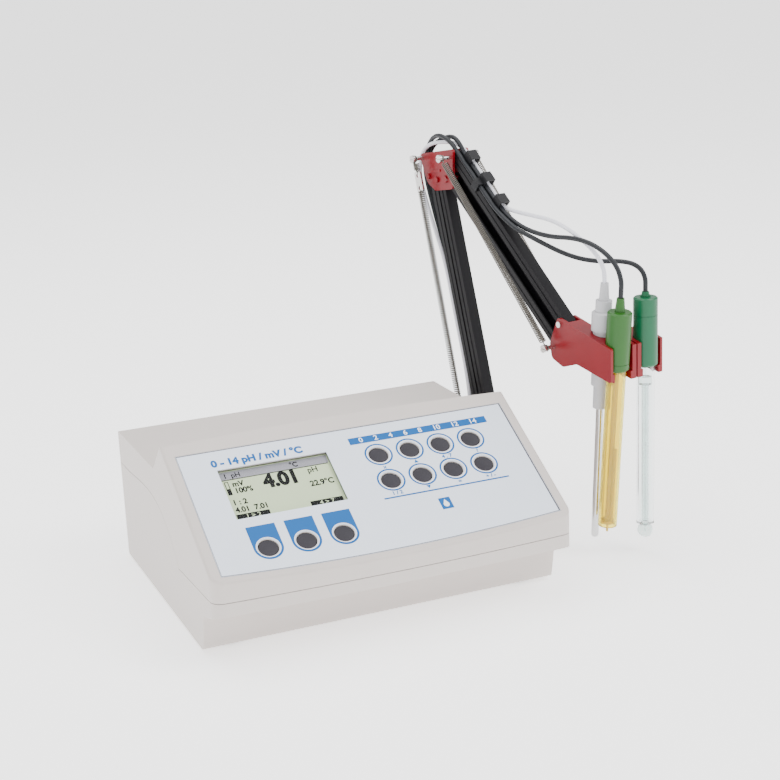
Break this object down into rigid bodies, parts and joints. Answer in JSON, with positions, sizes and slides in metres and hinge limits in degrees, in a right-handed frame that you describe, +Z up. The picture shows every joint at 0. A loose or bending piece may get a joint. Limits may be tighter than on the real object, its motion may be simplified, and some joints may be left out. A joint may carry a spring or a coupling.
{
  "type": "bench ph meter",
  "caption": "Bench pH meter with a sloping keypad and display, and a sprung swivel arm that holds a gel electrode, a glass electrode and a temperature probe.",
  "frame": {"origin": "on the bench, under the middle of the object seen from above, its loose cables left out", "axes": "+Z up, +X to the user's right, -Y towards the user"},
  "size_m": [0.326, 0.3208, 0.2693],
  "materials": {
    "case_plastic": "fine grain",
    "rear_plate": "satin",
    "overlay_film": "printed film",
    "window_clear": "clear",
    "lcd_glass": "smooth",
    "board_green": "solder mask",
    "screw_steel": "bright",
    "rubber_black": "matt",
    "socket_metal": "bright",
    "black_plastic": "satin",
    "base_steel": "satin",
    "bracket_red": "glossy",
    "bar_black": "satin",
    "spring_steel": "bright",
    "white_plastic": "satin",
    "sheath_steel": "polished",
    "cap_green": "satin",
    "tube_amber": "glossy",
    "element_dark": "smooth",
    "cap_emerald": "satin",
    "tube_clear": "clear",
    "element_glass": "clear",
    "cable_black": "matt",
    "cable_white": "matt",
    "key_grey": "matt"
  },
  "bodies": {
    "root": {"bottom_case": "case_plastic", "top_cover": "case_plastic", "rear_panel": "rear_plate", "panel_overlay": "overlay_film", "display_window": "window_clear", "lcd_module": "lcd_glass", "main_board": "board_green", "key_board": "board_green", "case_screws": "screw_steel", "rubber_feet": "rubber_black", "bnc_sockets": "socket_metal", "phono_sockets": "socket_metal", "power_inlet": "black_plastic", "data_port": "socket_metal", "base_plate": "base_steel", "switch_frame": "black_plastic", "gel_cable": "cable_black", "glass_cable": "cable_black", "temperature_cable": "cable_white", "gel_cable_coil": "cable_black", "glass_cable_coil": "cable_black", "temperature_cable_coil": "cable_white", "gel_cable_plug": "black_plastic", "glass_cable_plug": "black_plastic", "temperature_cable_plug": "white_plastic"},
    "key_soft_left": {"key_soft_left": "key_grey"},
    "key_soft_middle": {"key_soft_middle": "key_grey"},
    "key_soft_right": {"key_soft_right": "key_grey"},
    "key_channel": {"key_channel": "key_grey"},
    "key_down": {"key_down": "key_grey"},
    "key_menu": {"key_menu": "key_grey"},
    "key_range": {"key_range": "key_grey"},
    "key_escape": {"key_escape": "key_grey"},
    "key_up": {"key_up": "key_grey"},
    "key_calibrate": {"key_calibrate": "key_grey"},
    "key_help": {"key_help": "key_grey"},
    "rocker": {"power_switch": "black_plastic"},
    "swivel": {"swivel_base": "bracket_red", "swivel_pins": "screw_steel"},
    "lower_rear": {"lower_rear_bar": "bar_black", "lower_springs": "spring_steel", "spring_links": "screw_steel"},
    "lower_front": {"lower_front_bar": "bar_black"},
    "elbow": {"elbow_bracket": "bracket_red", "elbow_pins": "screw_steel"},
    "upper_top": {"upper_top_bar": "bar_black", "cable_clips": "black_plastic"},
    "upper_bottom": {"upper_bottom_bar": "bar_black", "upper_springs": "spring_steel"},
    "holder": {"electrode_holder": "bracket_red", "holder_pins": "screw_steel"},
    "gel_probe": {"gel_electrode_cap": "cap_green", "gel_electrode_body": "tube_amber", "gel_electrode_element": "element_dark"},
    "glass_probe": {"glass_electrode_cap": "cap_emerald", "glass_electrode_body": "tube_clear", "glass_electrode_element": "element_glass"},
    "temperature_probe": {"temperature_probe_handle": "white_plastic", "temperature_probe_sheath": "sheath_steel"}
  },
  "joints": [
    {"name": "key_soft_left_press", "type": "slide", "parent": "root", "child": "key_soft_left", "axis": [0, 0.5045, -0.8634], "range_m": [0, 0.0008], "stiffness_N_per_m": 400},
    {"name": "key_soft_middle_press", "type": "slide", "parent": "root", "child": "key_soft_middle", "axis": [0, 0.5045, -0.8634], "range_m": [0, 0.0008], "stiffness_N_per_m": 400},
    {"name": "key_soft_right_press", "type": "slide", "parent": "root", "child": "key_soft_right", "axis": [0, 0.5045, -0.8634], "range_m": [0, 0.0008], "stiffness_N_per_m": 400},
    {"name": "key_channel_press", "type": "slide", "parent": "root", "child": "key_channel", "axis": [0, 0.5045, -0.8634], "range_m": [0, 0.0008], "stiffness_N_per_m": 400},
    {"name": "key_down_press", "type": "slide", "parent": "root", "child": "key_down", "axis": [0, 0.5045, -0.8634], "range_m": [0, 0.0008], "stiffness_N_per_m": 400},
    {"name": "key_menu_press", "type": "slide", "parent": "root", "child": "key_menu", "axis": [0, 0.5045, -0.8634], "range_m": [0, 0.0008], "stiffness_N_per_m": 400},
    {"name": "key_range_press", "type": "slide", "parent": "root", "child": "key_range", "axis": [0, 0.5045, -0.8634], "range_m": [0, 0.0008], "stiffness_N_per_m": 400},
    {"name": "key_escape_press", "type": "slide", "parent": "root", "child": "key_escape", "axis": [0, 0.5045, -0.8634], "range_m": [0, 0.0008], "stiffness_N_per_m": 400},
    {"name": "key_up_press", "type": "slide", "parent": "root", "child": "key_up", "axis": [0, 0.5045, -0.8634], "range_m": [0, 0.0008], "stiffness_N_per_m": 400},
    {"name": "key_calibrate_press", "type": "slide", "parent": "root", "child": "key_calibrate", "axis": [0, 0.5045, -0.8634], "range_m": [0, 0.0008], "stiffness_N_per_m": 400},
    {"name": "key_help_press", "type": "slide", "parent": "root", "child": "key_help", "axis": [0, 0.5045, -0.8634], "range_m": [0, 0.0008], "stiffness_N_per_m": 400},
    {"name": "power_rocker", "type": "hinge", "parent": "root", "child": "rocker", "pos_m": [-0.13447, 0.09286, 0.036], "axis": [1, 0, 0], "range_deg": [0, 14]},
    {"name": "arm_swivel", "type": "hinge", "parent": "root", "child": "swivel", "pos_m": [0.09903, 0.05476, -0.0025], "axis": [0, 0, 1], "range_deg": [-12, 90], "deforming": ["gel_cable", "glass_cable", "temperature_cable"]},
    {"name": "lower_arm", "type": "hinge", "parent": "swivel", "child": "lower_rear", "pos_m": [0.09815, 0.05928, 0.06137], "axis": [0.9816, 0.1908, 0], "range_deg": [-8, 40], "deforming": ["lower_springs"]},
    {"name": "lower_front_turn", "type": "hinge", "parent": "swivel", "child": "lower_front", "pos_m": [0.10003, 0.04963, 0.05996], "axis": [0.9816, 0.1908, 0], "range_deg": [-8, 40]},
    {"name": "elbow_level", "type": "hinge", "parent": "lower_rear", "child": "elbow", "pos_m": [0.08865, 0.10816, 0.2385], "axis": [0.9816, 0.1908, 0], "range_deg": [-40, 8]},
    {"name": "upper_arm", "type": "hinge", "parent": "elbow", "child": "upper_top", "pos_m": [0.09359, 0.08274, 0.2545], "axis": [-0.9816, -0.1908, 0], "range_deg": [-4, 50], "deforming": ["upper_springs"]},
    {"name": "upper_bottom_turn", "type": "hinge", "parent": "elbow", "child": "upper_bottom", "pos_m": [0.0925, 0.08833, 0.2385], "axis": [-0.9816, -0.1908, 0], "range_deg": [-4, 50]},
    {"name": "holder_level", "type": "hinge", "parent": "upper_top", "child": "holder", "pos_m": [0.11602, -0.03265, 0.15516], "axis": [-0.9816, -0.1908, 0], "range_deg": [-50, 4]},
    {"name": "gel_probe_lift", "type": "slide", "parent": "holder", "child": "gel_probe", "axis": [0.0166, -0.0856, 0.9962], "range_m": [0, 0.03]},
    {"name": "glass_probe_lift", "type": "slide", "parent": "holder", "child": "glass_probe", "axis": [0, 0, 1], "range_m": [0, 0.03]},
    {"name": "temperature_probe_lift", "type": "slide", "parent": "holder", "child": "temperature_probe", "axis": [0.0123, -0.0633, 0.9979], "range_m": [0, 0.03]}
  ],
  "couplings": [
    {"joint": "lower_front_turn", "follows": "lower_arm", "ratio": 1},
    {"joint": "elbow_level", "follows": "lower_arm", "ratio": -1},
    {"joint": "upper_bottom_turn", "follows": "upper_arm", "ratio": 1},
    {"joint": "holder_level", "follows": "upper_arm", "ratio": -1}
  ]
}
